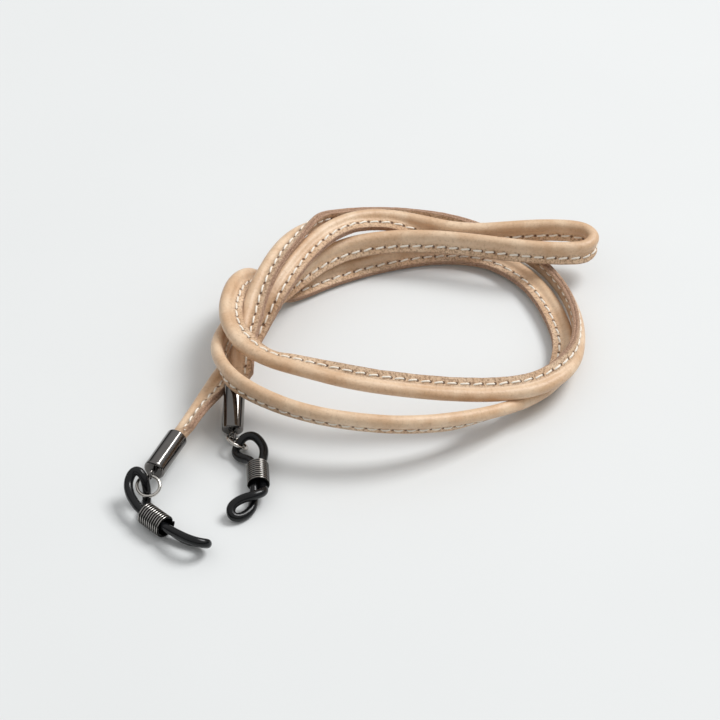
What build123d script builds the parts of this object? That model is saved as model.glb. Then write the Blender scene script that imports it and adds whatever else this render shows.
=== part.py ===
from build123d import *
import math
import os

# Eyeglass retainer strap: a stitched leather cord, loosely coiled, with a metal end cap at each
# end. Each cap carries a fixed eye, a split jump ring, and a rubber loop that grips the temple
# of a pair of glasses, with a wire coil that slides along the loop to tighten it.
# Frame: millimetres, +Z up, the strap lies on the plane z = 0. The origin is on that plane,
# below the middle of the two end fittings' box. +X is to the right, +Y towards the coiled strap.

# ---- driving dimensions ----
STRAP_D = 3.8            # outer diameter of the strap's plain tube
LEATHER_T = 0.9          # thickness of the leather round the filler
CORE_GAP = 0.05          # clearance between filler cord and leather
INSERTION = 6.0          # length of strap glued into each cap

CAP_WALL = 0.5           # end cap: thickness of its round wall
CAP_L = 11.8             # end cap length, mouth to closed end
CAP_END_T = 0.9          # thickness of the closed end
CAP_END_R = 0.5          # rounded edge of the closed end
CAP_MOUTH_R = 0.15       # rounded edge of the mouth
CAP_GAP = 0.05           # clearance between strap and cap bore

EYE_R = 1.1              # eye: radius to the middle of its wire
EYE_WIRE = 0.7           # eye: wire diameter
SHANK_D = 0.8            # eye: shank diameter through the cap's closed end
SHANK_GAP = 0.02         # clearance of the shank in its hole
HEAD_D = 1.7             # eye: riveted head inside the cap
HEAD_T = 0.4

RING_R = 2.5             # jump ring: radius to the middle of its wire
RING_WIRE = 0.8
RING_SPLIT_DEG = 2.0     # the cut where the ring was opened
LINK_GAP = 0.10          # clearance where the jump ring hangs in the eye

RUBBER_D = 1.88          # rubber loop cord
STRAND_GAP = 0.06        # between the two strands inside the coil
COIL_GAP = 0.06          # between a strand and the coil slider round it
COIL_WIRE = 0.58
COIL_PITCH = 0.64
COIL_TURNS = 10

ARC_SHARE = 0.45         # the most of a straight run that the arc at its end may take up

# ---- places, mm ----
# Route of the strap, from its end inside the left cap to its end inside the right cap.
ROUTE = [
    # up from the left cap, along the back-left bundle and over the top of the pile
    (-7.5, 2.8, 5.0), (-2.4, 15.1, 5.0), (1.6, 26.0, 4.9), (5.8, 36.5, 5.0), (9.1, 43.7, 6.0),
    (12.3, 48.4, 9.2), (15.3, 53.0, 12.4), (18.9, 60.2, 13.4), (23.1, 67.7, 13.6),
    (28.1, 74.0, 13.4), (34.6, 78.9, 12.4), (42.2, 80.9, 11.2), (50.5, 80.2, 10.2),
    # the narrow loop that reaches out to the right
    (57.8, 79.0, 9.6), (65.1, 78.3, 9.8), (72.9, 78.8, 10.4), (81.2, 79.0, 10.8),
    (88.2, 78.1, 11.2), (92.7, 76.9, 11.2), (94.9, 72.6, 10.8), (92.1, 67.7, 10.6),
    (87.0, 66.9, 10.6), (79.2, 68.5, 10.6), (70.8, 70.9, 10.6), (62.5, 73.1, 10.4),
    (52.8, 74.9, 10.0), (43.1, 75.0, 9.6), (33.4, 73.9, 9.2), (26.1, 70.3, 8.6),
    # under the bundle and round the left to the lower front band
    (20.2, 65.0, 7.8), (13.5, 55.6, 7.6), (7.5, 49.7, 8.4), (2.9, 43.3, 9.4), (0.2, 32.7, 11.2),
    (4.6, 21.3, 13.0), (12.4, 13.6, 13.4), (22.5, 8.0, 13.6), (33.6, 5.6, 13.0),
    (44.6, 5.4, 12.0), (55.8, 8.7, 10.0), (67.4, 15.6, 6.6), (77.1, 24.7, 3.2),
    # the inner turn on the right and the lowest run along the back
    (83.7, 34.2, 2.4), (85.5, 44.0, 2.4), (84.0, 54.1, 2.4), (80.8, 64.1, 2.4),
    (76.1, 72.0, 2.4), (69.7, 77.7, 2.6), (61.9, 80.3, 2.8), (53.6, 80.9, 2.6),
    (44.7, 78.9, 2.6), (35.8, 75.7, 2.6), (27.3, 71.3, 2.6), (20.8, 66.2, 2.6),
    # up round the left to the upper front band
    (15.6, 60.9, 3.4), (10.9, 60.2, 6.4), (7.5, 57.7, 10.4), (5.1, 50.4, 13.6),
    (4.1, 40.9, 14.6), (7.3, 30.7, 14.6), (13.6, 24.6, 14.4), (22.3, 21.2, 14.0),
    (33.6, 18.2, 13.0), (44.8, 18.4, 11.4), (56.1, 19.5, 9.8), (67.6, 21.6, 8.6),
    (78.0, 25.2, 8.2), (86.2, 33.4, 7.0),
    # the outer turn on the right, the back, and down the bundle to the right cap
    (89.5, 45.6, 4.8), (88.3, 58.0, 3.0), (84.8, 67.6, 2.4), (79.5, 75.9, 2.4),
    (72.9, 82.4, 2.4), (65.7, 87.6, 2.8), (58.3, 90.8, 3.8), (50.8, 91.6, 5.4),
    (42.8, 90.6, 7.4), (34.6, 87.3, 9.8), (27.5, 81.8, 12.4), (21.6, 73.6, 14.6),
    (16.7, 65.4, 15.4), (13.4, 56.8, 15.4), (10.7, 49.6, 14.2), (9.1, 42.3, 12.0),
    (7.5, 33.2, 10.4), (7.1, 18.9, 4.6),
]

# Each side: which way the jump ring hangs, the way its flat side faces, the middle of the coil
# slider, the coil's axis towards the temple end, the side of the coil that the first strand
# lies on, and the two ends of the rubber loop beyond the coil. The places are measured from the
# middle of the jump ring, so coil and loop stay on their ring when a cap, eye or ring changes.
SIDES = {
    "left": {
        "ring_dir": (-0.12, -0.92, -0.37),
        "ring_face": (0.03, -0.375, 0.926),
        "coil_mid": (2.17, -9.69, -1.17),
        "coil_axis": (0.724, -0.69, 0.0),
        "strand_side": (-0.45, -0.473, 0.757),
        "ring_end": [
            (-2.53, -5.59, -0.07), (-3.93, -2.79, 0.23), (-4.43, -0.19, 0.93), (-3.63, 1.71, 2.33),
            (-2.13, 1.71, 3.13), (-0.83, 0.31, 2.23), (-0.33, -0.59, 0.03), (-0.33, -0.99, -2.07),
            (-0.43, -2.69, -2.97), (-0.63, -4.99, -2.57),
        ],
        "temple_end": [
            (8.67, -14.19, -2.77), (11.47, -14.99, -2.67), (13.57, -16.39, -1.87),
            (13.77, -17.59, -0.47), (11.87, -18.19, 0.43), (8.87, -16.99, 0.63),
        ],
    },
    "right": {
        "ring_dir": (0.497, -0.857, 0.137),
        "ring_face": (0.5, 0.45, 0.78),
        "coil_mid": (5.05, -11.23, 0.42),
        "coil_axis": (0.064, -0.998, 0.0),
        "strand_side": (-0.998, -0.064, 0.0),
        "ring_end": [
            (2.95, -5.83, 0.17), (1.25, -4.53, -0.53), (-0.05, -3.13, -0.93), (-0.35, -1.53, -0.73),
            (0.45, -0.73, 0.37), (1.65, 0.57, 1.37), (3.65, 0.87, 1.57), (5.35, -0.83, 1.17),
            (6.35, -3.43, 0.77),
        ],
        "temple_end": [
            (6.65, -17.43, 1.17), (4.45, -19.13, 1.77), (1.45, -19.83, 1.27), (-0.65, -21.43, 0.57),
            (-0.35, -23.43, -0.53), (1.65, -23.23, -1.19), (3.95, -20.83, -1.19), (4.35, -17.83, -0.73),
        ],
    },
}

os.makedirs("parts", exist_ok=True)


def write(shape, name):
    shape.label = name
    export_step(shape, f"parts/{name}.step")


def arc_radii(points):
    """The largest tangent arc that each corner's two runs allow."""
    radii = []
    for last, corner, following in zip(points, points[1:], points[2:]):
        before = Vector(corner) - Vector(last)
        after = Vector(following) - Vector(corner)
        half_turn = math.radians(before.get_angle(after)) / 2
        radii.append(ARC_SHARE * min(before.length, after.length) / math.tan(half_turn))
    return radii


def tube(path, radius, bore=0.0):
    """A round tube or rod along a path of straight runs and tangent arcs."""
    start = Plane(origin=path @ 0, z_dir=path % 0)
    outer = sweep(start * Circle(radius), path=path)
    if not bore:
        return outer
    return outer - sweep(start * Circle(bore), path=path)


def along(origin, direction):
    """A work plane with its Z along direction."""
    return Plane(origin=origin, z_dir=direction)


def torus(centre, normal, across, major_r, wire_d, open_deg=0.0):
    """A wire ring; across points at the split when the ring is open."""
    plane = Plane(origin=centre, x_dir=across, z_dir=normal)
    if not open_deg:
        return plane * Torus(major_r, wire_d / 2)
    section = Plane.XZ * Pos(major_r, 0, 0) * Circle(wire_d / 2)
    ring = revolve(section, axis=Axis.Z, revolution_arc=360 - open_deg)
    return plane * Rot(0, 0, open_deg / 2) * ring


# ---- strap: leather outside, filler cord inside ----
radii = arc_radii(ROUTE)
route = FilletPolyline(*ROUTE, radius=radii)
strap_r = STRAP_D / 2
core_hole_r = strap_r - LEATHER_T
core_r = core_hole_r - CORE_GAP
leather = tube(route, strap_r, core_hole_r)
core = tube(route, core_r)
write(leather, "strap_leather")
write(core, "filler_cord")
section = math.pi * (strap_r ** 2 - core_hole_r ** 2)
print("strap length", round(route.length, 1), "smallest radius", round(min(radii), 1))
print("radii", [round(r, 1) for r in radii])
print("leather volume / (section x length)", round(leather.volume / (section * route.length), 4))
print("filler volume / (section x length)",
      round(core.volume / (math.pi * core_r ** 2 * route.length), 4))


# ---- one end fitting ----
def end_cap(mouth, outward):
    """A drawn metal cup: open mouth towards the strap, closed end outwards."""
    bore_r = strap_r + CAP_GAP
    body = Cylinder(bore_r + CAP_WALL, CAP_L, align=(Align.CENTER, Align.CENTER, Align.MIN))
    body = fillet(body.edges().sort_by(Axis.Z)[-1], CAP_END_R)
    bore = Cylinder(bore_r, CAP_L - CAP_END_T, align=(Align.CENTER, Align.CENTER, Align.MIN))
    hole = Cylinder(SHANK_D / 2 + SHANK_GAP, 2 * CAP_L,
                    align=(Align.CENTER, Align.CENTER, Align.MIN))
    body = body - bore - hole
    body = fillet(body.edges().sort_by(Axis.Z)[:2], CAP_MOUTH_R)
    return along(mouth, outward) * body


def cap_eye(face, outward, wire_dir):
    """The eye: a wire ring on a shank that is riveted through the cap's closed end."""
    ring_mid = face + outward * (EYE_R + EYE_WIRE / 2 - SHANK_GAP)
    normal = wire_dir.cross(outward)
    ring = torus(ring_mid, normal, outward, EYE_R, EYE_WIRE)
    shank_l = CAP_END_T + EYE_WIRE / 2
    shank = along(face - outward * CAP_END_T, outward) * Cylinder(
        SHANK_D / 2, shank_l, align=(Align.CENTER, Align.CENTER, Align.MIN))
    head = along(face - outward * (CAP_END_T + HEAD_T), outward) * Cylinder(
        HEAD_D / 2, HEAD_T, align=(Align.CENTER, Align.CENTER, Align.MIN))
    return ring + shank + head


def coil_slider(middle, axis):
    """A close-wound wire coil round both strands of the rubber loop."""
    coil_l = COIL_TURNS * COIL_PITCH
    winding_r = RUBBER_D + STRAND_GAP / 2 + COIL_GAP + COIL_WIRE / 2
    helix = Helix(pitch=COIL_PITCH, height=coil_l, radius=winding_r)
    start = Plane(origin=helix @ 0, z_dir=helix % 0)
    wire = sweep(start * Circle(COIL_WIRE / 2), path=helix, is_frenet=True)
    return along(middle - axis * (coil_l / 2), axis) * wire


def rubber_loop(middle, axis, strand_side, ring_end, temple_end):
    """One endless rubber cord, pinched together where it passes through the coil."""
    offset = strand_side * ((RUBBER_D + STRAND_GAP) / 2)
    half = axis * (COIL_TURNS * COIL_PITCH / 2 + COIL_WIRE)
    ring_half = [middle + offset, middle + offset - half, *ring_end,
                 middle - offset - half, middle - offset]
    temple_half = [middle - offset, middle - offset + half, *temple_end,
                   middle + offset + half, middle + offset]
    loop = None
    length = 0.0
    for points in (ring_half, temple_half):
        path = FilletPolyline(*points, radius=arc_radii(points))
        bend = tube(path, RUBBER_D / 2)
        loop = bend if loop is None else loop + bend
        length += path.length
    print("  rubber loop length", round(length, 1))
    return loop


def build_side(side, inner_end, next_point):
    values = SIDES[side]
    outward = (Vector(inner_end) - Vector(next_point)).normalized()
    mouth = Vector(inner_end) - outward * INSERTION
    face = mouth + outward * CAP_L
    ring_dir = Vector(values["ring_dir"]).normalized()
    ring_face = Vector(values["ring_face"])
    ring_face = (ring_face - ring_dir * ring_face.dot(ring_dir)).normalized()
    wire_dir = (ring_face - outward * ring_face.dot(outward)).normalized()

    eye_far = 2 * EYE_R + EYE_WIRE / 2 - SHANK_GAP
    link = face + outward * (eye_far - (EYE_WIRE + RING_WIRE) / 2 - LINK_GAP)
    ring_mid = link + ring_dir * RING_R
    ring_across = ring_dir.cross(ring_face).normalized()

    write(end_cap(mouth, outward), f"{side}_end_cap")
    write(cap_eye(face, outward, wire_dir), f"{side}_cap_eye")
    write(torus(ring_mid, ring_face, ring_across * -1, RING_R, RING_WIRE, RING_SPLIT_DEG),
          f"{side}_jump_ring")

    middle = ring_mid + Vector(values["coil_mid"])
    axis = Vector(values["coil_axis"]).normalized()
    strand_side = Vector(values["strand_side"])
    strand_side = (strand_side - axis * strand_side.dot(axis)).normalized()
    ring_end = [ring_mid + Vector(place) for place in values["ring_end"]]
    temple_end = [ring_mid + Vector(place) for place in values["temple_end"]]
    write(rubber_loop(middle, axis, strand_side, ring_end, temple_end), f"{side}_rubber_loop")
    write(coil_slider(middle, axis), f"{side}_coil_slider")
    print(side, "mouth", mouth, "face", face, "link", link)
    print("  ring middle", ring_mid, "coil middle", middle)
    print("  hinge axis on the eye", ring_across, "ring face", ring_face, "coil axis", axis)


build_side("left", ROUTE[0], ROUTE[1])
build_side("right", ROUTE[-1], ROUTE[-2])
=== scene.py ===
import math

import bpy
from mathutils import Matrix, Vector, noise


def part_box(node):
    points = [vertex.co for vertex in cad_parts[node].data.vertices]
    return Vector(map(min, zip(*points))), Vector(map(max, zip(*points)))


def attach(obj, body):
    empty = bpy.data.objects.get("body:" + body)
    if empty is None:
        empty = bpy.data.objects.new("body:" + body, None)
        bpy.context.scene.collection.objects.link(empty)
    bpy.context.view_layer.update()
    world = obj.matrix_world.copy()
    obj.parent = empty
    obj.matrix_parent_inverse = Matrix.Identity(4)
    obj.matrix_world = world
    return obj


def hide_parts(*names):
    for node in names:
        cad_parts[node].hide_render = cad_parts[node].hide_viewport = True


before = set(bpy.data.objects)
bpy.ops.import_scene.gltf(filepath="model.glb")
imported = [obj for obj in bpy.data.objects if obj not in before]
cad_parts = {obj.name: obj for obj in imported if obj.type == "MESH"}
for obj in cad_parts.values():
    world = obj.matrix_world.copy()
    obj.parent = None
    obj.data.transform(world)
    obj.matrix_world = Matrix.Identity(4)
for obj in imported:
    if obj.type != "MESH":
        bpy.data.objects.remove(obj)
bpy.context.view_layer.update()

# Eyeglass retainer strap. The frame holds the caps, eyes, jump rings and coil sliders as they
# show. This script makes the sewn leather strap, its stitching, its filler and the two rubber
# loops, gives every piece its material, and sets the floor, the light and the camera.

MM = 0.001

# ---- strap sizes, mm ----
BEAD_R = 1.5             # the round part, over the filler
SEAM_T = 0.8             # half thickness of the two sewn layers
EDGE_REACH = 4.0         # from the middle of the bead to the raw edge
STITCH_REACH = 2.42      # from the middle of the bead to the stitch line
STITCH_PITCH = 3.05
STITCH_L = 2.15
THREAD_R = 0.25
THREAD_SINK = 0.4        # how far a stitch's ends dive into their needle holes
FILLER_R = 0.8
BORE_R = 0.84
PINCHED_R = 1.86         # the strap where it is pressed into a cap
CAP_GRIP = 6.0           # length of strap inside each cap
PINCH_RUN = 2.0          # length over which the sewn edge grows out of the cap
SEAM_DIP = 0.1           # how far the leather is pulled in along the stitch line
HOLE_PULL = 0.05         # and how much further at each needle hole
THREAD_RISE = 0.12       # the thread's middle above that dip
UNEVEN = 0.05            # how far the leather's surface wanders
RAW_UNEVEN = 0.07        # and its cut edge, on top of that
FILLER_PLIES = 3
FILLER_TURN = 9.0        # length of the filler in which its plies turn once
FILLER_SIDES = 12
BORE_SHARE = 4           # points of the strap's outline for each point of its bore
STEPS = 12               # points of the strap's line for each point of its route
EDGE_SMOOTHING = 6       # times that the sewn edge's direction is evened out

# Route of the strap, mm, from inside the left cap to inside the right cap.
ROUTE = [
    # up from the left cap, along the back-left bundle and over the top of the pile
    (-7.5, 2.8, 5.0), (-2.4, 15.1, 5.0), (1.6, 26.0, 4.9), (5.8, 36.5, 4.8), (9.1, 43.7, 5.5),
    (12.3, 48.4, 9.2), (15.3, 53.0, 12.4), (18.9, 60.6, 13.6), (23.1, 68.6, 13.8),
    (28.1, 75.4, 13.6), (34.6, 80.8, 12.8), (42.2, 83.0, 11.6), (50.5, 81.9, 10.6),
    # the narrow loop that reaches out to the right
    (57.8, 80.2, 9.8), (65.1, 79.4, 9.8), (72.9, 79.6, 10.4), (80.6, 79.8, 10.8),
    (86.8, 79.0, 11.2), (90.9, 77.8, 11.2), (92.9, 74.6, 10.9), (90.6, 71.2, 10.7),
    (86.0, 70.6, 10.7), (79.2, 71.0, 10.7), (70.8, 72.6, 10.6), (62.5, 74.6, 10.4),
    (52.8, 76.6, 10.0), (43.1, 77.0, 9.6), (33.4, 75.2, 9.2), (26.1, 70.8, 8.6),
    # under the bundle and round the left to the lower front band
    (20.2, 65.0, 7.8), (13.5, 55.6, 7.6), (8.0, 49.7, 8.8), (4.6, 43.0, 9.5), (2.3, 32.4, 11.2),
    (5.6, 21.8, 13.0), (12.6, 14.2, 13.4), (22.5, 8.0, 13.6), (33.6, 5.6, 13.0),
    (44.6, 5.4, 12.0), (55.8, 8.7, 10.0), (67.4, 15.6, 6.6), (77.1, 24.7, 3.2),
    # the inner turn on the right and the lowest run along the back
    (83.7, 34.2, 2.4), (85.5, 44.0, 2.4), (84.0, 54.1, 2.4), (80.8, 64.1, 2.4),
    (76.1, 72.0, 2.4), (69.7, 77.7, 2.6), (61.9, 80.3, 2.8), (53.6, 80.9, 2.6),
    (44.7, 78.9, 2.6), (35.8, 75.7, 2.6), (27.3, 71.3, 2.6), (21.2, 67.0, 2.6),
    # up round the left to the upper front band
    (16.4, 63.6, 3.4), (12.2, 64.4, 6.4), (8.6, 61.4, 10.6), (5.3, 52.8, 13.8),
    (4.1, 40.9, 14.6), (7.3, 30.7, 14.6), (13.6, 24.6, 14.4), (22.3, 21.2, 14.0),
    (33.6, 17.8, 13.0), (44.8, 17.2, 11.4), (56.1, 17.7, 9.6), (67.6, 18.9, 8.3),
    (78.0, 22.2, 7.7), (85.4, 31.2, 6.6),
    # the outer turn on the right, the back, and down the bundle to the right cap
    (87.6, 44.6, 4.8), (86.9, 57.4, 3.0), (84.0, 67.4, 2.4), (79.3, 75.7, 2.4),
    (72.7, 82.0, 2.4), (65.5, 86.4, 2.5), (58.3, 88.7, 2.9), (50.8, 89.0, 3.9),
    (42.8, 87.6, 5.6), (34.6, 84.6, 7.9), (27.3, 79.9, 11.0), (21.6, 73.2, 14.4),
    (16.7, 65.4, 15.4), (13.4, 56.8, 15.4), (10.7, 49.6, 13.8), (9.1, 42.3, 11.2),
    (7.5, 33.2, 9.9), (7.1, 18.9, 4.6),
]

# Which way the sewn edge points, at some of the route's points, counted from 0.
SEWN_EDGE = [
    (0, (0.68, -0.29, 0.67)), (1, (0.68, -0.29, 0.67)), (2, (0.75, -0.3, 0.2)),
    (3, (0.7, -0.3, -0.5)), (4, (0.85, -0.4, -0.35)),
    (6, (0.75, -0.6, -0.1)), (9, (0.5, -0.8, -0.15)), (11, (0.1, -0.9, -0.35)),
    (13, (0.0, -0.3, -1.0)), (17, (0.0, -0.1, -1.0)), (19, (0.1, 0.0, -1.0)),
    (21, (0.0, -0.5, -0.86)), (27, (0.0, -0.5, -0.86)), (28, (0.15, -0.5, -0.85)),
    (29, (0.4, -0.5, -0.75)), (31, (0.15, -0.3, -0.94)), (32, (0.3, -0.1, -0.95)),
    (33, (0.5, 0.05, -0.86)), (34, (-0.1, 0.2, -0.97)), (36, (0.0, 0.35, -0.94)),
    (39, (0.0, 0.35, -0.94)), (40, (-0.25, 0.55, -0.8)), (41, (-0.5, 0.6, -0.45)),
    (43, (-1.0, 0.05, 0.05)), (45, (-0.9, -0.4, 0.0)), (47, (-0.5, -0.8, -0.15)),
    (49, (-0.1, -0.9, -0.35)), (51, (0.3, -0.85, -0.38)), (53, (0.5, -0.75, -0.3)),
    (55, (0.3, -0.9, -0.3)), (56, (0.6, -0.6, -0.5)), (57, (0.85, -0.2, -0.45)),
    (58, (0.93, 0.2, -0.3)), (59, (0.6, 0.75, -0.1)), (60, (0.45, 0.8, -0.3)),
    (61, (0.25, 0.95, 0.05)), (62, (0.1, 0.85, 0.5)), (64, (0.0, 0.85, 0.5)),
    (66, (-0.4, 0.7, 0.55)), (68, (-0.2, 0.0, 0.95)), (71, (-0.3, -0.2, 0.93)),
    (76, (0.0, 0.3, 0.93)), (78, (0.25, 0.0, 0.95)), (80, (0.82, -0.42, 0.35)),
    (83, (0.9, -0.15, 0.25)), (85, (0.9, -0.1, 0.2)),
]

# The rubber loops, mm: the middle and axis of each coil slider, the side of it that the first
# strand lies on, and the loop's points beyond the coil at the ring end and the temple end.
LOOPS = {
    "left": {
        "coil_mid": (-8.5, -16.1, 2.9),
        "coil_axis": (0.724, -0.69, 0.0),
        "strand_side": (-0.45, -0.473, 0.757),
        "ring_end": [
            (-13.2, -12.0, 4.0), (-14.6, -9.2, 4.3), (-15.1, -6.6, 5.0), (-14.3, -4.7, 6.4),
            (-12.8, -4.7, 7.2), (-11.5, -6.1, 6.3), (-11.0, -7.0, 4.1), (-11.0, -7.4, 2.0),
            (-11.1, -9.1, 1.1), (-11.3, -11.4, 1.5),
        ],
        "temple_end": [
            (-2.0, -20.6, 1.3), (0.8, -21.4, 1.4), (2.9, -22.8, 2.2), (3.1, -24.0, 3.6),
            (1.2, -24.6, 4.5), (-1.8, -23.4, 4.7),
        ],
    },
    "right": {
        "coil_mid": (13.2, -1.4, 2.55),
        "coil_axis": (0.064, -0.998, 0.0),
        "strand_side": (-0.998, -0.064, 0.0),
        "ring_end": [
            (11.1, 4.0, 2.3), (9.4, 5.3, 1.6), (8.1, 6.7, 1.2), (7.8, 8.3, 1.4),
            (8.6, 9.1, 2.5), (9.8, 10.4, 3.5), (11.8, 10.7, 3.7), (13.5, 9.0, 3.3),
            (14.5, 6.4, 2.9),
        ],
        "temple_end": [
            (14.8, -7.6, 3.3), (12.6, -9.3, 3.9), (9.6, -10.0, 3.4), (7.5, -11.6, 2.7),
            (7.8, -13.6, 1.6), (9.8, -13.4, 1.0), (12.1, -11.0, 1.0), (12.5, -8.0, 1.4),
        ],
    },
}
STRAND_OFFSET = 0.97     # each strand's middle from the coil's axis
COIL_HALF = 3.78         # half the length over which the strands lie side by side
RUBBER_R = 1.02          # the cord where nothing presses it
RUBBER_PRESSED_R = 0.94  # and inside the coil
RUBBER_RING_R = 0.95     # and where it passes through the jump ring
COIL_UNSHADED_R = 2.54      # from the coil's axis, where the painted shade between its turns has faded out
COIL_GROOVE_SHADE_R = 2.47     # and where the grooves between its turns are painted dark, as painted shade
COIL_PRESS = (COIL_HALF - 0.3, COIL_HALF + 1.4)  # along the axis, where the coil's grip fades
AXIS_PRESS = (1.3, 2.2)  # and out from the axis
RING_PRESS = (2.4, 4.0)  # from the jump ring's middle, where its press fades
RUBBER_SIDES = 20
RUBBER_STEPS = 8


# ---- small helpers ----
def colour(hex_value):
    """An sRGB hex colour as linear red, green, blue and alpha."""
    parts = [int(hex_value[i:i + 2], 16) / 255 for i in (1, 3, 5)]
    linear = [c / 12.92 if c <= 0.04045 else ((c + 0.055) / 1.055) ** 2.4 for c in parts]
    return (*linear, 1.0)


def add(tree, kind, sockets=None, **settings):
    """Adds a node; sockets maps an input's name or number to a value or to an output."""
    node = tree.nodes.new(kind)
    for name, value in settings.items():
        setattr(node, name, value)
    for key, value in (sockets or {}).items():
        if isinstance(value, bpy.types.NodeSocket):
            tree.links.new(value, node.inputs[key])
        else:
            node.inputs[key].default_value = value
    return node


def smoothstep(low, high, value):
    t = min(max((value - low) / (high - low), 0.0), 1.0)
    return t * t * (3 - 2 * t)


def place(obj):
    bpy.context.scene.collection.objects.link(obj)
    return obj


def mesh_piece(name, points, faces, material):
    """A smooth-shaded piece from points in metres."""
    mesh = bpy.data.meshes.new(name)
    mesh.from_pydata(points, [], faces)
    mesh.materials.append(material)
    mesh.shade_smooth()
    return place(bpy.data.objects.new(name, mesh))


def give(mesh, name, values):
    """Stores one number for each point of a mesh, for its material to read."""
    mesh.attributes.new(name, "FLOAT", "POINT").data.foreach_set("value", values)


def plain_mesh(obj):
    """The evaluated object as a plain mesh."""
    graph = bpy.context.evaluated_depsgraph_get()
    return bpy.data.meshes.new_from_object(obj.evaluated_get(graph))


def curve_points(control, steps, closed=False):
    """Points in metres along the smooth curve that control points in mm pull into shape."""
    curve = bpy.data.curves.new("guide", "CURVE")
    curve.dimensions = "3D"
    curve.resolution_u = steps
    spline = curve.splines.new("NURBS")
    spline.points.add(len(control) - 1)
    for point, where in zip(spline.points, control):
        point.co = (*(Vector(where) * MM), 1.0)
    spline.use_cyclic_u = closed
    spline.order_u = 3
    spline.use_endpoint_u = not closed
    guide = place(bpy.data.objects.new("guide", curve))
    bpy.context.view_layer.update()
    mesh = plain_mesh(guide)
    points = [v.co.copy() for v in mesh.vertices]
    bpy.data.objects.remove(guide)
    bpy.data.meshes.remove(mesh)
    return points


def running_length(points):
    total = [0.0]
    for before, after in zip(points, points[1:]):
        total.append(total[-1] + (after - before).length)
    return total


def directions(points, closed=False):
    """The unit direction of travel at each point."""
    count = len(points)
    found = []
    for i in range(count):
        if closed:
            step = points[(i + 1) % count] - points[i - 1]
        else:
            step = points[min(i + 1, count - 1)] - points[max(i - 1, 0)]
        found.append(step.normalized())
    return found


def ring_faces(rings, size, closed=False, first=0, flipped=False):
    """Quads between one ring of points and the next; they face out if the rings run
    anticlockwise, seen from ahead, and are flipped if they run the other way."""
    faces = []
    for i in range(rings if closed else rings - 1):
        a = first + i * size
        b = first + (i + 1) % rings * size
        for j in range(size):
            k = (j + 1) % size
            quad = (a + j, a + k, b + k, b + j)
            faces.append(quad[::-1] if flipped else quad)
    return faces


# ---- materials ----
def new_material(name):
    material = bpy.data.materials.new(name)
    material.use_nodes = True
    tree = material.node_tree
    shader = tree.nodes["Principled BSDF"]
    return material, tree, shader


def blend_colours(tree, amount, low, high):
    """Mixes two colours; each is a hex value or an output."""
    low = colour(low) if isinstance(low, str) else low
    high = colour(high) if isinstance(high, str) else high
    return add(tree, "ShaderNodeMix", {0: amount, 6: low, 7: high}, data_type="RGBA").outputs[2]


def spread(tree, value, low, high):
    """Stretches low..high to 0..1."""
    sockets = {0: value, 1: low, 2: high}
    return add(tree, "ShaderNodeMapRange", sockets, interpolation_type="SMOOTHSTEP").outputs[0]


def maths(tree, operation, *values):
    return add(tree, "ShaderNodeMath", dict(enumerate(values)), operation=operation).outputs[0]


def object_place(tree):
    return add(tree, "ShaderNodeTexCoord").outputs["Object"]


def grain(tree, where, size_mm, detail=2.0, rough=0.5, distortion=0.0):
    """Noise whose features are about this size."""
    sockets = {"Vector": where, "Scale": 1 / (size_mm * MM), "Detail": detail,
               "Roughness": rough, "Distortion": distortion}
    return add(tree, "ShaderNodeTexNoise", sockets).outputs["Fac"]


def give_relief(tree, shader, height, strength, depth_mm):
    sockets = {"Height": height, "Strength": strength, "Distance": depth_mm * MM}
    bump = add(tree, "ShaderNodeBump", sockets)
    tree.links.new(bump.outputs[0], shader.inputs["Normal"])


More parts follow.
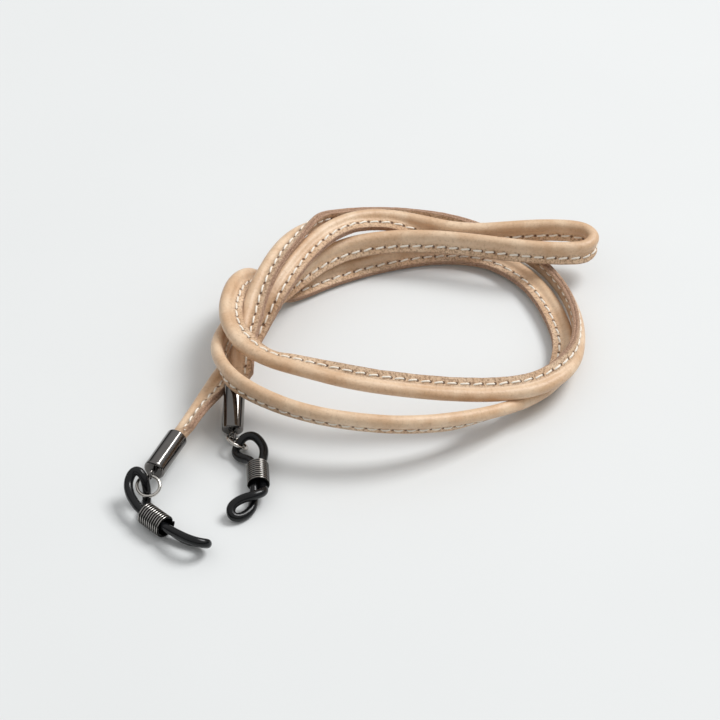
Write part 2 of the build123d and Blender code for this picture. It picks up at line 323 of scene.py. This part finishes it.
def tanned_leather():
    """Vegetable-tanned calf, undyed: warm tan, semi-matt, fine pores, a fibrous cut edge."""
    material, tree, shader = new_material("vegetable_tanned_leather")
    where = object_place(tree)

    def stored(name):
        return add(tree, "ShaderNodeAttribute", attribute_name=name).outputs["Fac"]

    reach = stored("reach_mm")
    raw = stored("raw_edge")
    # creases cross the strap: short along it, long round it
    along = maths(tree, "MULTIPLY", stored("length_mm"), 0.0014)
    around = maths(tree, "MULTIPLY", stored("around"), 0.0026)
    strip = add(tree, "ShaderNodeCombineXYZ", {0: along, 1: around}).outputs[0]
    crease = grain(tree, strip, 0.9, 4.0, 0.6)
    pores = grain(tree, where, 0.55, 4.0, 0.7)
    mottle = grain(tree, where, 7.0, 3.0, 0.55)
    fibres = grain(tree, where, 0.4, 5.0, 0.8)

    on_edge = spread(tree, reach, 1.5, 2.1)
    tan = blend_colours(tree, spread(tree, mottle, 0.35, 0.68), "#d5b08b", "#e8cbab")
    tan = blend_colours(tree, maths(tree, "MULTIPLY", spread(tree, crease, 0.5, 0.72), 0.32),
                        tan, "#a8835f")
    # the sewn layers are drier and show their pores
    speckle = maths(tree, "MULTIPLY", spread(tree, pores, 0.47, 0.6), 0.7)
    speckle = maths(tree, "MULTIPLY", speckle, maths(tree, "MULTIPLY_ADD", on_edge, 0.88, 0.12))
    tan = blend_colours(tree, speckle, tan, "#8e684a")
    cut = blend_colours(tree, spread(tree, fibres, 0.35, 0.66), "#9c7157", "#d6b296")
    tan = blend_colours(tree, raw, tan, cut)
    # a needle hole between each stitch and the next, painted dark: painted shade inside the hole
    phase = maths(tree, "FRACT", stored("stitch_phase"))
    off_hole = maths(tree, "MULTIPLY", maths(tree, "ABSOLUTE", maths(tree, "SUBTRACT", phase, 0.5)),
                     STITCH_PITCH)
    off_line = maths(tree, "SUBTRACT", reach, STITCH_REACH)
    off = maths(tree, "SQRT", maths(tree, "ADD", maths(tree, "POWER", off_hole, 2.0),
                                    maths(tree, "POWER", off_line, 2.0)))
    hole = spread(tree, off, 0.46, 0.2)
    # painted shade: each needle hole is painted dark brown
    colours = blend_colours(tree, maths(tree, "MULTIPLY", hole, 0.9), tan, "#5f3f2a")
    tree.links.new(colours, shader.inputs["Base Color"])

    rough = maths(tree, "MULTIPLY_ADD", on_edge, 0.2, 0.36)
    rough = maths(tree, "ADD", rough, maths(tree, "MULTIPLY", raw, 0.25))
    rough = maths(tree, "ADD", rough, maths(tree, "MULTIPLY", pores, 0.1))
    tree.links.new(rough, shader.inputs["Roughness"])
    shader.inputs["Specular IOR Level"].default_value = 0.6
    shader.inputs["Sheen Weight"].default_value = 0.06

    relief = maths(tree, "MULTIPLY", crease, 0.5)
    pebble = maths(tree, "MULTIPLY", pores, maths(tree, "MULTIPLY_ADD", on_edge, 0.7, 0.25))
    relief = maths(tree, "ADD", relief, pebble)
    relief = maths(tree, "ADD", relief, maths(tree, "MULTIPLY", maths(tree, "MULTIPLY", fibres, raw),
                                              2.2))
    relief = maths(tree, "SUBTRACT", relief, maths(tree, "MULTIPLY", hole, 1.2))
    give_relief(tree, shader, relief, 0.8, 0.3)
    return material


def waxed_thread():
    """Waxed polyester sewing thread: off-white, a little translucent, twisted from fine plies."""
    material, tree, shader = new_material("waxed_thread")
    where = object_place(tree)
    plies = grain(tree, where, 0.16)
    tint = blend_colours(tree, spread(tree, plies, 0.3, 0.7), "#e9dfcd", "#fffaf1")
    tree.links.new(tint, shader.inputs["Base Color"])
    shader.inputs["Roughness"].default_value = 0.5
    shader.inputs["Sheen Weight"].default_value = 0.15
    give_relief(tree, shader, plies, 0.5, 0.06)
    return material


def cotton_filler():
    """Twisted cotton cord: dull cream, with the fuzz of short fibres."""
    material, tree, shader = new_material("cotton_filler")
    where = object_place(tree)
    fuzz = grain(tree, where, 0.2, 4.0)
    tint = blend_colours(tree, fuzz, "#c9bda4", "#e9dfca")
    tree.links.new(tint, shader.inputs["Base Color"])
    shader.inputs["Roughness"].default_value = 0.9
    return material


def plated_metal(name, dark, light, low, high, scratch_mm, groove_shade=None):
    """Nickel plate on brass: mirror-like, with hairlines that only break up its reflections.

    On the coils, a middle and an axis may be given; from them the grooves between the turns are
    found and painted dark, as painted shade."""
    material, tree, shader = new_material(name)
    where = object_place(tree)
    cloud = grain(tree, where, 2.5)
    hairline = grain(tree, where, scratch_mm, 5.0, distortion=1.5)
    tint = blend_colours(tree, cloud, dark, light)
    if groove_shade:
        middle, axis = groove_shade
        arm = add(tree, "ShaderNodeVectorMath", {0: where, 1: middle * MM}, operation="SUBTRACT")
        side = add(tree, "ShaderNodeVectorMath", {0: arm.outputs[0], 1: axis},
                   operation="CROSS_PRODUCT")
        out = add(tree, "ShaderNodeVectorMath", {0: side.outputs[0]}, operation="LENGTH")
        unshaded_crest = spread(tree, out.outputs["Value"], COIL_GROOVE_SHADE_R * MM, COIL_UNSHADED_R * MM)
        # painted shade: the grooves between the coil's turns are painted near-black
        tint = blend_colours(tree, unshaded_crest, "#1d1c1b", tint)
    tree.links.new(tint, shader.inputs["Base Color"])
    rough = add(tree, "ShaderNodeMapRange", {0: hairline, 1: 0.3, 2: 0.7, 3: low, 4: high})
    tree.links.new(rough.outputs[0], shader.inputs["Roughness"])
    shader.inputs["Metallic"].default_value = 1.0
    give_relief(tree, shader, hairline, 0.08, 0.02)
    return material


def extruded_rubber():
    """Black extruded rubber cord: satin, with a faint bloom and fine lines from the die."""
    material, tree, shader = new_material("extruded_rubber")
    where = object_place(tree)
    bloom = grain(tree, where, 3.0, 3.0)
    skin = grain(tree, where, 0.25, 3.0)
    tint = blend_colours(tree, spread(tree, bloom, 0.4, 0.75), "#0c0d0f", "#17181a")
    tree.links.new(tint, shader.inputs["Base Color"])
    rough = add(tree, "ShaderNodeMapRange", {0: skin, 1: 0.3, 2: 0.7, 3: 0.16, 4: 0.28})
    shader.inputs["Specular IOR Level"].default_value = 0.32
    tree.links.new(rough.outputs[0], shader.inputs["Roughness"])
    give_relief(tree, shader, skin, 0.25, 0.04)
    return material


def studio_paper():
    """Matt white paper, all but even."""
    material, tree, shader = new_material("studio_paper")
    where = object_place(tree)
    tooth = grain(tree, where, 60)
    tree.links.new(blend_colours(tree, tooth, "#e0e2e2", "#e3e5e5"), shader.inputs["Base Color"])
    shader.inputs["Roughness"].default_value = 0.9
    shader.inputs["Specular IOR Level"].default_value = 0.1
    return material


leather = tanned_leather()
thread = waxed_thread()
cotton = cotton_filler()
cap_metal = plated_metal("polished_black_nickel", "#6c6967", "#7a7774", 0.06, 0.13, 0.3)
ring_metal = plated_metal("bright_nickel", "#bdb9b3", "#ccc8c2", 0.08, 0.16, 0.2)
rubber = extruded_rubber()


# ---- the strap's line, and which way its sewn edge points ----
line = curve_points(ROUTE, STEPS)
travel = directions(line)
lengths = running_length(line)
strap_length = lengths[-1]


def edge_direction(position):
    """The sewn edge's direction at a place between the route's points."""
    for (low, a), (high, b) in zip(SEWN_EDGE, SEWN_EDGE[1:]):
        if position <= high:
            return Vector(a).lerp(Vector(b), smoothstep(low, high, position))
    return Vector(SEWN_EDGE[-1][1])


def edge_frames():
    """For each point of the line, the directions out to the sewn edge and across it."""
    runs = len(ROUTE) - 2
    outs = []
    for i, ahead in enumerate(travel):
        # the smooth curve passes nearest route point k at k - 1/2 runs
        position = i / (len(line) - 1) * runs + 0.5
        out = edge_direction(position)
        outs.append((out - ahead * out.dot(ahead)).normalized())
    for _ in range(EDGE_SMOOTHING):
        outs = [(outs[max(i - 1, 0)] + outs[i] * 2 + outs[min(i + 1, len(outs) - 1)])
                for i in range(len(outs))]
        outs = [(out - ahead * out.dot(ahead)).normalized() for out, ahead in zip(outs, travel)]
    return [(out, ahead.cross(out).normalized()) for out, ahead in zip(outs, travel)]


frames = edge_frames()


def fullness(distance):
    """0 where the strap is pressed into a cap, 1 where its sewn edge has its full width."""
    from_end = min(distance, strap_length - distance) / MM
    return smoothstep(CAP_GRIP, CAP_GRIP + PINCH_RUN, from_end)


def strap_outline():
    """The strap's section, mm: out towards the sewn edge, across it, and how raw it is."""
    half = []
    for k in range(11):
        angle = math.radians(180 - 14 * k)
        half.append((BEAD_R * math.cos(angle), BEAD_R * math.sin(angle), 0.0))
    edge = EDGE_REACH
    half += [(1.42, 0.86, 0.0), (1.75, SEAM_T - 0.02, 0.0), (2.08, SEAM_T - 0.03, 0.0),
             (STITCH_REACH, SEAM_T - SEAM_DIP, 0.0), (2.8, SEAM_T - 0.01, 0.0),
             (3.4, SEAM_T + 0.06, 0.0), (edge - 0.2, SEAM_T + 0.05, 0.15),
             (edge - 0.06, SEAM_T - 0.06, 0.8), (edge, 0.5, 1.0), (edge, 0.26, 1.0),
             (edge - 0.04, 0.09, 1.0)]
    mirrored = [(out, -across, raw) for out, across, raw in reversed(half[1:])]
    return half + [(edge - 0.22, 0.0, 1.0)] + mirrored


outline = strap_outline()


def seam_line(side):
    """The stitch line on one face of the sewn edge, and how far along it each point is."""
    points = []
    for centre, (out, across) in zip(line, frames):
        points.append(centre + (out * STITCH_REACH + across * side * (SEAM_T - SEAM_DIP)) * MM)
    return points, running_length(points)


seams = {side: seam_line(side) for side in (1, -1)}
sewn = [i for i, d in enumerate(lengths) if fullness(d) > 0.75]
first_sewn, last_sewn = sewn[0], sewn[-1]
stitch_count = round((lengths[last_sewn] - lengths[first_sewn]) / (STITCH_PITCH * MM))


def stitch_phase(side, i):
    """How many stitches lie before this point: whole numbers are the stitches' middles."""
    run = seams[side][1]
    return (run[i] - run[first_sewn]) / (run[last_sewn] - run[first_sewn]) * (stitch_count - 1)


def strap_leather():
    """The folded and sewn leather strip, hollow for its filler."""
    points, reach, raw_edge, length_mm, around, phase = [], [], [], [], [], []
    size = len(outline)
    for i, (centre, (out, across)) in enumerate(zip(line, frames)):
        full = fullness(lengths[i])
        for j, (x, y, raw) in enumerate(outline):
            angle = math.pi - 2 * math.pi * j / size
            x0, y0 = PINCHED_R * math.cos(angle), PINCHED_R * math.sin(angle)
            x1, y1 = x0 + (x - x0) * full, y0 + (y - y0) * full
            where = centre / MM
            # hand-cut edges wander a little, and the leather is never quite even
            wander = noise.noise(where / 5.0 + Vector((j * 0.11, 0, 0))) * UNEVEN
            if raw > 0.5:
                wander += noise.noise(where / 1.1 + Vector((0, j * 0.6, 3))) * RAW_UNEVEN
            if abs(x - STITCH_REACH) < 0.5:
                side = 1 if y > 0 else -1
                wander -= HOLE_PULL * math.cos(2 * math.pi * (stitch_phase(side, i) - 0.5))
            scale = 1 + wander * full / math.hypot(x1, y1) if raw > 0.5 else 1.0
            lift = wander * full * (1 if y > 0 else -1) if raw <= 0.5 and y else 0.0
            points.append(centre + (out * x1 * scale + across * (y1 + lift)) * MM)
            reach.append(x1)
            raw_edge.append(raw * full)
            length_mm.append(lengths[i] / MM)
            around.append(abs(angle))
            sewn_here = first_sewn <= i <= last_sewn
            phase.append(stitch_phase(1 if y > 0 else -1, i) if sewn_here else 0.0)
    rings = len(line)
    faces = ring_faces(rings, size, flipped=True)

    bore_size = size // BORE_SHARE
    bore = len(points)
    for i, (centre, (out, across)) in enumerate(zip(line, frames)):
        for j in range(bore_size):
            angle = math.pi - 2 * math.pi * j / bore_size
            points.append(centre + (out * math.cos(angle) + across * math.sin(angle))
                          * BORE_R * MM)
            reach.append(0.0)
            raw_edge.append(1.0)
            length_mm.append(lengths[i] / MM)
            around.append(0.0)
            phase.append(0.0)
    faces += ring_faces(rings, bore_size, first=bore)
    for ring, flip in ((0, False), (rings - 1, True)):
        outer, inner = ring * size, bore + ring * bore_size
        for j in range(bore_size):
            here, after = inner + j, inner + (j + 1) % bore_size
            corners = [outer + (BORE_SHARE * j + k) % size for k in range(BORE_SHARE + 1)]
            wedge = [(here, a, b) for a, b in zip(corners, corners[1:])]
            wedge.append((here, corners[-1], after))
            faces += [face[::-1] for face in wedge] if flip else wedge
    piece = mesh_piece("leather_strap", points, faces, leather)
    for name, values in (("reach_mm", reach), ("raw_edge", raw_edge), ("length_mm", length_mm),
                         ("around", around), ("stitch_phase", phase)):
        give(piece.data, name, values)
    return piece


def filler_cord():
    """Three twisted plies inside the bead."""
    points = []
    size = FILLER_SIDES
    for i, (centre, (out, across)) in enumerate(zip(line, frames)):
        twist = lengths[i] / MM * 2 * math.pi / FILLER_TURN
        for j in range(size):
            angle = 2 * math.pi * j / size
            r = FILLER_R * (0.92 + 0.08 * math.cos(FILLER_PLIES * (angle - twist)))
            points.append(centre + (out * math.cos(-angle) + across * math.sin(-angle)) * r * MM)
    faces = ring_faces(len(line), size, flipped=True)
    faces.append(tuple(range(size)))
    faces.append(tuple(range(len(points) - size, len(points)))[::-1])
    return mesh_piece("cotton_filler_cord", points, faces, cotton)


# ---- stitching ----
def running_stitch_tree():
    """One stitch at each step along a seam line, its ends sunk into the leather."""
    tree = bpy.data.node_groups.new("running_stitch", "GeometryNodeTree")
    sizes = (("Stitches", "NodeSocketInt"), ("Stitch length", "NodeSocketFloat"),
             ("Thread radius", "NodeSocketFloat"), ("Sink", "NodeSocketFloat"),
             ("Seed", "NodeSocketInt"))
    tree.interface.new_socket("Seam", in_out="INPUT", socket_type="NodeSocketGeometry")
    for name, kind in sizes:
        tree.interface.new_socket(name, in_out="INPUT", socket_type=kind)
    tree.interface.new_socket("Stitching", in_out="OUTPUT", socket_type="NodeSocketGeometry")
    given = add(tree, "NodeGroupInput").outputs

    # the stitch: a short thread along X, arched so that both ends dive
    half = maths(tree, "MULTIPLY", given["Stitch length"], 0.5)
    ends = [add(tree, "ShaderNodeCombineXYZ", {0: x}).outputs[0]
            for x in (maths(tree, "MULTIPLY", half, -1.0), half)]
    core = add(tree, "GeometryNodeCurvePrimitiveLine", {"Start": ends[0], "End": ends[1]})
    core = add(tree, "GeometryNodeResampleCurve", {"Curve": core.outputs[0], "Count": 7})
    spot = add(tree, "GeometryNodeInputPosition").outputs[0]
    x = add(tree, "ShaderNodeSeparateXYZ", {0: spot}).outputs[0]
    share = maths(tree, "DIVIDE", x, half)
    drop = maths(tree, "MULTIPLY", maths(tree, "POWER", maths(tree, "ABSOLUTE", share), 4.0),
                 maths(tree, "MULTIPLY", given["Sink"], -1.0))
    offset = add(tree, "ShaderNodeCombineXYZ", {2: drop}).outputs[0]
    core = add(tree, "GeometryNodeSetPosition", {"Geometry": core.outputs[0], "Offset": offset})
    round_ = add(tree, "GeometryNodeCurvePrimitiveCircle",
                 {"Resolution": 6, "Radius": given["Thread radius"]})
    stitch = add(tree, "GeometryNodeCurveToMesh",
                 {"Curve": core.outputs[0], "Profile Curve": round_.outputs[0],
                  "Fill Caps": True})

    # its places: even steps along the seam, standing on the face of the leather
    seam = add(tree, "GeometryNodeMeshToCurve", {"Mesh": given["Seam"]})
    places = add(tree, "GeometryNodeCurveToPoints",
                 {"Curve": seam.outputs[0], "Count": given["Stitches"]})
    face = add(tree, "GeometryNodeInputNamedAttribute", {"Name": "face"},
               data_type="FLOAT_VECTOR").outputs[0]
    turn = add(tree, "FunctionNodeAlignRotationToVector", {"Vector": face}, axis="Z")
    turn = add(tree, "FunctionNodeAlignRotationToVector",
               {"Rotation": turn.outputs[0], "Vector": places.outputs["Tangent"]},
               axis="X", pivot_axis="Z")
    uneven = add(tree, "FunctionNodeRandomValue",
                 {2: 0.06, 3: 0.22, "Seed": given["Seed"]}, data_type="FLOAT")
    slant = add(tree, "ShaderNodeCombineXYZ", {2: uneven.outputs[1]})
    slant = add(tree, "FunctionNodeEulerToRotation", {0: slant.outputs[0]})
    turn = add(tree, "FunctionNodeRotateRotation",
               {"Rotation": turn.outputs[0], "Rotate By": slant.outputs[0]},
               rotation_space="LOCAL")
    sewn_row = add(tree, "GeometryNodeInstanceOnPoints",
                   {"Points": places.outputs["Points"], "Instance": stitch.outputs[0],
                    "Rotation": turn.outputs[0]})
    real = add(tree, "GeometryNodeRealizeInstances", {0: sewn_row.outputs[0]})
    smooth = add(tree, "GeometryNodeSetShadeSmooth", {0: real.outputs[0]})
    coloured = add(tree, "GeometryNodeSetMaterial",
                   {"Geometry": smooth.outputs[0], "Material": thread})
    add(tree, "NodeGroupOutput", {0: coloured.outputs[0]})
    return tree


def edge_stitching():
    """The running stitch on both faces of the sewn edge."""
    points, edges, faces_out = [], [], []
    for side in (1, -1):
        start = len(points)
        for i in range(first_sewn, last_sewn + 1):
            across = frames[i][1] * side
            points.append(seams[side][0][i] + across * THREAD_RISE * MM)
            faces_out.append(across)
        edges += [(k, k + 1) for k in range(start, len(points) - 1)]
    mesh = bpy.data.meshes.new("seams")
    mesh.from_pydata(points, edges, [])
    store = mesh.attributes.new("face", "FLOAT_VECTOR", "POINT")
    store.data.foreach_set("vector", [c for v in faces_out for c in v])
    guide = place(bpy.data.objects.new("seams", mesh))
    tree = running_stitch_tree()
    sewing = guide.modifiers.new("sewing", "NODES")
    sewing.node_group = tree
    values = {"Stitches": stitch_count, "Stitch length": STITCH_L * MM,
              "Thread radius": THREAD_R * MM, "Sink": THREAD_SINK * MM, "Seed": 4}
    for item in tree.interface.items_tree:
        if item.name in values:
            sewing[item.identifier] = values[item.name]
    bpy.context.view_layer.update()
    result = plain_mesh(guide)
    result.name = "edge_stitching"
    bpy.data.objects.remove(guide)
    return place(bpy.data.objects.new("edge_stitching", result))


strap = strap_leather()
filler = filler_cord()
stitching = edge_stitching()
for piece, slot in ((strap, "tan_leather"), (filler, "cotton_cord"), (stitching, "cotton_cord")):
    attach(piece, "strap")
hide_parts("strap_leather")
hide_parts("filler_cord")


# ---- rubber loops ----
def rubber_loop(side):
    """One endless cord, thinner where the coil and the jump ring press it."""
    values = LOOPS[side]
    middle = Vector(values["coil_mid"])
    axis = Vector(values["coil_axis"]).normalized()
    across = Vector(values["strand_side"])
    across = (across - axis * across.dot(axis)).normalized() * STRAND_OFFSET
    beside = [axis * COIL_HALF * share for share in (-1.0, -0.6, 0.6, 1.0)]
    control = [middle + across + beside[0], *map(Vector, values["ring_end"]),
               *[middle - across + step for step in beside], *map(Vector, values["temple_end"]),
               *[middle + across + step for step in reversed(beside[1:])]]
    path = curve_points(control, RUBBER_STEPS, closed=True)
    ahead = directions(path, closed=True)
    low, high = (Vector(corner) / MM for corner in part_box(f"{side}_jump_ring"))
    ring_mid = (low + high) / 2

    # a frame that doesn't twist, its closing error spread over the whole loop
    outs = [ahead[0].orthogonal().normalized()]
    for i in range(1, len(path) + 1):
        turn = ahead[i - 1].rotation_difference(ahead[i % len(path)])
        outs.append(turn @ outs[-1])
    error = outs[0].angle(outs[-1])
    if outs[0].cross(outs[-1]).dot(ahead[0]) > 0:
        error = -error
    points = []
    size = RUBBER_SIDES
    for i, centre in enumerate(path):
        where = centre / MM
        in_coil = 1 - smoothstep(*COIL_PRESS, abs((where - middle).dot(axis)))
        near_axis = 1 - smoothstep(*AXIS_PRESS, (where - middle).cross(axis).length)
        near_ring = 1 - smoothstep(*RING_PRESS, (where - ring_mid).length)
        radius = RUBBER_R + (RUBBER_PRESSED_R - RUBBER_R) * in_coil * near_axis
        radius = min(radius, RUBBER_R + (RUBBER_RING_R - RUBBER_R) * near_ring)
        out = outs[i]
        up = ahead[i].cross(out)
        for j in range(size):
            angle = 2 * math.pi * j / size + error * i / len(path)
            points.append(centre + (out * math.cos(angle) + up * math.sin(angle)) * radius * MM)
    faces = ring_faces(len(path), size, closed=True)
    return mesh_piece(f"{side}_rubber_cord", points, faces, rubber)


for side in LOOPS:
    loop = rubber_loop(side)
    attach(loop, f"{side}_loop")
    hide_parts(f"{side}_rubber_loop")

# ---- the metal pieces, as the frame has them ----
for side, loop_values in LOOPS.items():
    # the coil's middle and axis, for the painted shade in its grooves
    groove_shade_frame = (Vector(loop_values["coil_mid"]), Vector(loop_values["coil_axis"]).normalized())
    coil_metal = plated_metal(f"{side}_coiled_nickel_wire", "#96938f", "#a6a39f", 0.12, 0.22, 0.15,
                              groove_shade=groove_shade_frame)
    metals = {"end_cap": cap_metal, "cap_eye": cap_metal, "jump_ring": ring_metal,
              "coil_slider": coil_metal}
    for kind, metal in metals.items():
        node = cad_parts[f"{side}_{kind}"]
        node.data.materials.clear()
        node.data.materials.append(metal)

# ---- floor, light and camera ----
TARGET = Vector((35.8, 41.4, 0.0)) * MM
CAMERA_DISTANCE = 0.585
CAMERA_ELEVATION = 40.0
CAMERA_LENS = 124.3
SENSOR_WIDTH = 36.0
HALF_FLOOR = 3.0
ROOM_STRENGTH = 0.68
KEY_DIRECTION = (0.65, 0.36, 1.0)
KEY_DISTANCE = 2.6
KEY_SIZE = 1.1
KEY_POWER = 47.0

corners = [(x * HALF_FLOOR, y * HALF_FLOOR, 0) for x, y in ((-1, -1), (1, -1), (1, 1), (-1, 1))]
floor = mesh_piece("floor", corners, [(0, 1, 2, 3)], studio_paper())

# a white ceiling that darkens towards the walls, which gives the metal its dark bands
sky = bpy.data.worlds.new("soft_room")
sky.use_nodes = True
room = sky.node_tree
towards_sky = add(room, "ShaderNodeTexCoord").outputs["Generated"]
height = add(room, "ShaderNodeSeparateXYZ", {0: towards_sky}).outputs[2]
ceiling = blend_colours(room, spread(room, height, 0.1, 0.62), "#4c4f52", "#ffffff")
room.links.new(ceiling, room.nodes["Background"].inputs["Color"])
room.nodes["Background"].inputs["Strength"].default_value = ROOM_STRENGTH
bpy.context.scene.world = sky


def soft_box(name, direction, distance, size, power):
    """A square area light that faces the strap."""
    light = bpy.data.lights.new(name, "AREA")
    light.size = size
    light.energy = power
    lamp = place(bpy.data.objects.new(name, light))
    towards = Vector(direction).normalized()
    lamp.location = TARGET + towards * distance
    lamp.rotation_euler = towards.to_track_quat("Z", "Y").to_euler()


soft_box("key_soft_box", KEY_DIRECTION, KEY_DISTANCE, KEY_SIZE, KEY_POWER)

camera_data = bpy.data.cameras.new("camera")
camera_data.lens = CAMERA_LENS
camera_data.sensor_width = SENSOR_WIDTH
camera_data.clip_start = 0.01
camera = place(bpy.data.objects.new("camera", camera_data))
tilt = math.radians(CAMERA_ELEVATION)
camera.location = TARGET + Vector((0, -math.cos(tilt), math.sin(tilt))) * CAMERA_DISTANCE
camera.rotation_euler = (math.radians(90) - tilt, 0, 0)
bpy.context.scene.camera = camera
bpy.context.scene.view_settings.view_transform = "Standard"
